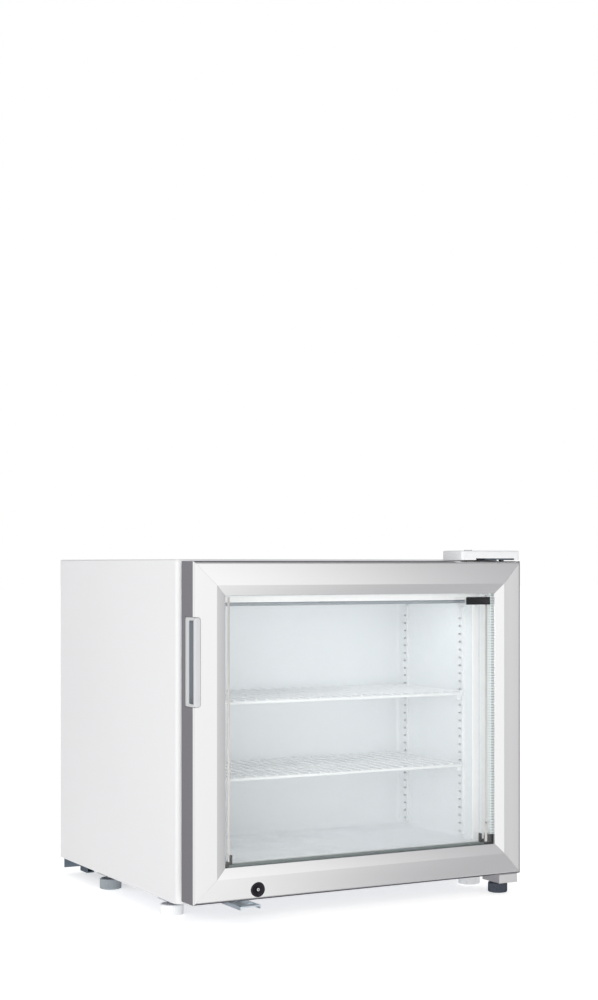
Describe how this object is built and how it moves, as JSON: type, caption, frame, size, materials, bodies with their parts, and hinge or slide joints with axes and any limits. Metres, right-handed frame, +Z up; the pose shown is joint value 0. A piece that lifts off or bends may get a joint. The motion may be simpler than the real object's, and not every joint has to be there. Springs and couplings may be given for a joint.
{
  "type": "countertop display freezer",
  "caption": "Small countertop display freezer with a hinged glass door, wire shelves, levelling feet, door lock and a rear cooling unit.",
  "frame": {"origin": "centre of the overall box on the floor plane", "axes": "+Z up, +X to the right seen from the front, -Y towards the front of the door"},
  "size_m": [0.571, 0.5426, 0.5462],
  "materials": {
    "outer_wrap": "smooth satin white paint",
    "foam_insulation": "closed-cell foam",
    "inner_liner": "glossy white sheet",
    "front_trim_frame": "satin white",
    "bottom_pan": "galvanised",
    "compartment_wall": "galvanised",
    "shelf_pilasters": "white coated",
    "upper_wire_shelf": "white coated wire",
    "lower_wire_shelf": "white coated wire",
    "shelf_clips": "white",
    "light_strip": "frosted white",
    "evaporator_tube": "drawn",
    "compressor_base": "galvanised",
    "rear_panel": "light grey paint",
    "compressor": "black paint",
    "rubber_grommets": "matte",
    "grommet_bolts": "zinc plated",
    "terminal_box": "fine texture",
    "condenser_fins": "mill finish",
    "condenser_tube": "lacquered",
    "fan_plate": "galvanised",
    "fan_motor": "moulded",
    "refrigerant_pipes": "drawn copper",
    "filter_drier": "spun copper",
    "thermostat_body": "moulded",
    "light_switch_bezel": "moulded",
    "cord_gland": "moulded",
    "top_hinge_bracket": "zinc plated",
    "hinge_cover": "white",
    "bottom_hinge_bracket": "zinc plated",
    "strike_bracket": "zinc plated",
    "bracket_screws": "zinc plated",
    "foot_brackets": "zinc plated",
    "door_rail_left": "smooth white",
    "door_rail_right": "smooth white",
    "door_rail_top": "smooth white",
    "door_rail_bottom": "smooth white",
    "outer_glass_pane": "clear",
    "inner_glass_pane": "clear",
    "glass_spacer": "satin",
    "heater_busbars": "satin",
    "glass_corner_blocks": "moulded",
    "door_inner_frame": "white",
    "door_gasket": "soft pale grey",
    "corner_keys": "moulded",
    "hinge_bushes": "acetal",
    "door_grip": "fine texture grey",
    "badge_plate": "blank",
    "lock_housing": "dark chrome",
    "lock_barrel": "bright",
    "lock_bolt": "zinc plated",
    "fan_blades": "moulded",
    "thermostat_knob": "moulded",
    "light_switch_rocker": "moulded",
    "foot_front_left": "white ribbed",
    "foot_front_right": "white ribbed",
    "foot_rear_left": "white ribbed",
    "foot_rear_right": "white ribbed",
    "foot_hinge": "black ribbed"
  },
  "bodies": {
    "cabinet": {"outer_wrap": "outer_wrap", "foam_insulation": "foam_insulation", "inner_liner": "inner_liner", "front_trim_frame": "front_trim_frame", "bottom_pan": "bottom_pan", "compartment_wall": "compartment_wall", "shelf_pilasters": "shelf_pilasters", "upper_wire_shelf": "upper_wire_shelf", "lower_wire_shelf": "lower_wire_shelf", "shelf_clips": "shelf_clips", "light_strip": "light_strip", "evaporator_tube": "evaporator_tube", "compressor_base": "compressor_base", "rear_panel": "rear_panel", "compressor": "compressor", "rubber_grommets": "rubber_grommets", "grommet_bolts": "grommet_bolts", "terminal_box": "terminal_box", "condenser_fins": "condenser_fins", "condenser_tube": "condenser_tube", "fan_plate": "fan_plate", "fan_motor": "fan_motor", "refrigerant_pipes": "refrigerant_pipes", "filter_drier": "filter_drier", "thermostat_body": "thermostat_body", "light_switch_bezel": "light_switch_bezel", "cord_gland": "cord_gland", "top_hinge_bracket": "top_hinge_bracket", "hinge_cover": "hinge_cover", "bottom_hinge_bracket": "bottom_hinge_bracket", "strike_bracket": "strike_bracket", "bracket_screws": "bracket_screws", "foot_brackets": "foot_brackets"},
    "door": {"door_rail_left": "door_rail_left", "door_rail_right": "door_rail_right", "door_rail_top": "door_rail_top", "door_rail_bottom": "door_rail_bottom", "outer_glass_pane": "outer_glass_pane", "inner_glass_pane": "inner_glass_pane", "glass_spacer": "glass_spacer", "heater_busbars": "heater_busbars", "glass_corner_blocks": "glass_corner_blocks", "door_inner_frame": "door_inner_frame", "door_gasket": "door_gasket", "corner_keys": "corner_keys", "hinge_bushes": "hinge_bushes", "door_grip": "door_grip", "badge_plate": "badge_plate", "lock_housing": "lock_housing"},
    "lock_barrel": {"lock_barrel": "lock_barrel"},
    "lock_bolt": {"lock_bolt": "lock_bolt"},
    "fan": {"fan_blades": "fan_blades"},
    "thermostat_knob": {"thermostat_knob": "thermostat_knob"},
    "light_switch": {"light_switch_rocker": "light_switch_rocker"},
    "foot_front_left": {"foot_front_left": "foot_front_left"},
    "foot_front_right": {"foot_front_right": "foot_front_right"},
    "foot_rear_left": {"foot_rear_left": "foot_rear_left"},
    "foot_rear_right": {"foot_rear_right": "foot_rear_right"},
    "foot_hinge": {"foot_hinge": "foot_hinge"}
  },
  "joints": [
    {"name": "door_swing", "type": "hinge", "parent": "cabinet", "child": "door", "pos_m": [0.263, -0.24475, 0.28], "axis": [0, 0, 1], "range_deg": [0, 110]},
    {"name": "lock_turn", "type": "hinge", "parent": "door", "child": "lock_barrel", "pos_m": [-0.1835, -0.26675, 0.0496], "axis": [0, 1, 0], "range_deg": [0, 90]},
    {"name": "bolt_drop", "type": "slide", "parent": "door", "child": "lock_bolt", "axis": [0, 0, -1], "range_m": [0, 0.012]},
    {"name": "fan_spin", "type": "hinge", "parent": "cabinet", "child": "fan", "pos_m": [-0.155, 0.19325, 0.15], "axis": [0, 1, 0], "continuous": true},
    {"name": "thermostat_turn", "type": "hinge", "parent": "cabinet", "child": "thermostat_knob", "pos_m": [0.205, 0.26325, 0.42], "axis": [0, 1, 0], "range_deg": [0, 270]},
    {"name": "light_switch_rock", "type": "hinge", "parent": "cabinet", "child": "light_switch", "pos_m": [-0.2, 0.25825, 0.4105], "axis": [1, 0, 0], "range_deg": [0, 12]},
    {"name": "foot_front_left_turn", "type": "hinge", "parent": "cabinet", "child": "foot_front_left", "pos_m": [-0.2665, -0.14875, 0.01], "axis": [0, 0, 1], "continuous": true},
    {"name": "foot_front_right_turn", "type": "hinge", "parent": "cabinet", "child": "foot_front_right", "pos_m": [0.2665, -0.14875, 0.01], "axis": [0, 0, 1], "continuous": true},
    {"name": "foot_rear_left_turn", "type": "hinge", "parent": "cabinet", "child": "foot_rear_left", "pos_m": [-0.2665, 0.09225, 0.01], "axis": [0, 0, 1], "continuous": true},
    {"name": "foot_rear_right_turn", "type": "hinge", "parent": "cabinet", "child": "foot_rear_right", "pos_m": [0.2665, 0.09225, 0.01], "axis": [0, 0, 1], "continuous": true},
    {"name": "foot_hinge_turn", "type": "hinge", "parent": "cabinet", "child": "foot_hinge", "pos_m": [0.268, -0.22775, 0.01], "axis": [0, 0, 1], "continuous": true}
  ],
  "couplings": [
    {"joint": "lock_turn", "follows": "bolt_drop", "rad_per_m": 130.9}
  ]
}
